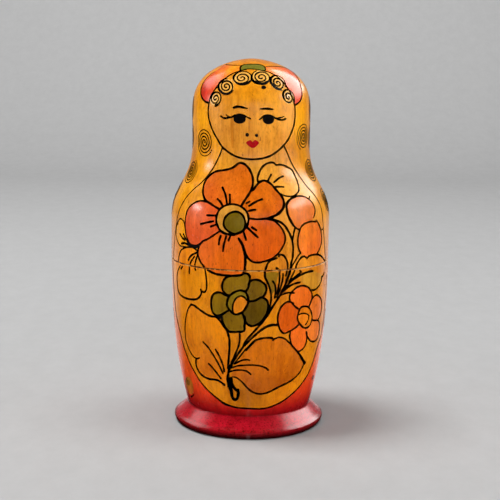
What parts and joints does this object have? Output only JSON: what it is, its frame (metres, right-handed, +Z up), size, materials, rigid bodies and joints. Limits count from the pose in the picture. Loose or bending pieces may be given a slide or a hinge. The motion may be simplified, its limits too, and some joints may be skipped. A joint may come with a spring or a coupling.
{
  "type": "nesting doll",
  "caption": "Turned wooden nesting doll with a flared foot, in hollow halves that close on a tenon, each doll holding the next smaller one, painted as a peasant woman with flowers.",
  "frame": {"origin": "centre of the flat sole, on the ground the doll stands on", "axes": "+Z up along the turning axis, the painted face looks along -Y, +X is to the right of someone facing the doll"},
  "size_m": [0.0648, 0.0648, 0.15],
  "materials": {
    "outer_skirt_lacquer": "red dye under clear gloss lacquer, black pen line",
    "outer_shawl_lacquer": "yellow dye under clear gloss lacquer, black pen line",
    "inner_skirt_lacquer": "red dye under clear gloss lacquer, black pen line",
    "inner_shawl_lacquer": "yellow dye under clear gloss lacquer, black pen line",
    "small_doll_lacquer": "yellow and red dye under clear gloss lacquer"
  },
  "bodies": {
    "doll_1_lower": {"doll_1_lower": "outer_skirt_lacquer"},
    "doll_2_lower": {"doll_2_lower": "inner_skirt_lacquer"},
    "doll_3_lower": {"doll_3_lower": "inner_skirt_lacquer"},
    "doll_4_lower": {"doll_4_lower": "inner_skirt_lacquer"},
    "doll_5_lower": {"doll_5_lower": "inner_skirt_lacquer"},
    "doll_6_lower": {"doll_6_lower": "inner_skirt_lacquer"},
    "doll_7_solid": {"doll_7_solid": "small_doll_lacquer"},
    "doll_6_upper": {"doll_6_upper": "inner_shawl_lacquer"},
    "doll_5_upper": {"doll_5_upper": "inner_shawl_lacquer"},
    "doll_4_upper": {"doll_4_upper": "inner_shawl_lacquer"},
    "doll_3_upper": {"doll_3_upper": "inner_shawl_lacquer"},
    "doll_2_upper": {"doll_2_upper": "inner_shawl_lacquer"},
    "doll_1_upper": {"doll_1_upper": "outer_shawl_lacquer"}
  },
  "joints": [
    {"name": "doll_2_lift_out", "type": "slide", "parent": "doll_1_lower", "child": "doll_2_lower", "axis": [0, 0, 1], "range_m": [0, 0.064]},
    {"name": "doll_3_lift_out", "type": "slide", "parent": "doll_2_lower", "child": "doll_3_lower", "axis": [0, 0, 1], "range_m": [0, 0.0514]},
    {"name": "doll_4_lift_out", "type": "slide", "parent": "doll_3_lower", "child": "doll_4_lower", "axis": [0, 0, 1], "range_m": [0, 0.0413]},
    {"name": "doll_5_lift_out", "type": "slide", "parent": "doll_4_lower", "child": "doll_5_lower", "axis": [0, 0, 1], "range_m": [0, 0.0332]},
    {"name": "doll_6_lift_out", "type": "slide", "parent": "doll_5_lower", "child": "doll_6_lower", "axis": [0, 0, 1], "range_m": [0, 0.0267]},
    {"name": "doll_7_lift_out", "type": "slide", "parent": "doll_6_lower", "child": "doll_7_solid", "axis": [0, 0, 1], "range_m": [0, 0.0214]},
    {"name": "doll_6_open", "type": "slide", "parent": "doll_7_solid", "child": "doll_6_upper", "axis": [0, 0, 1], "range_m": [0, 0.0218]},
    {"name": "doll_5_open", "type": "slide", "parent": "doll_6_upper", "child": "doll_5_upper", "axis": [0, 0, 1], "range_m": [0, 0.027]},
    {"name": "doll_4_open", "type": "slide", "parent": "doll_5_upper", "child": "doll_4_upper", "axis": [0, 0, 1], "range_m": [0, 0.0335]},
    {"name": "doll_3_open", "type": "slide", "parent": "doll_4_upper", "child": "doll_3_upper", "axis": [0, 0, 1], "range_m": [0, 0.0417]},
    {"name": "doll_2_open", "type": "slide", "parent": "doll_3_upper", "child": "doll_2_upper", "axis": [0, 0, 1], "range_m": [0, 0.0519]},
    {"name": "doll_1_open", "type": "slide", "parent": "doll_2_upper", "child": "doll_1_upper", "axis": [0, 0, 1], "range_m": [0, 0.0646]}
  ]
}
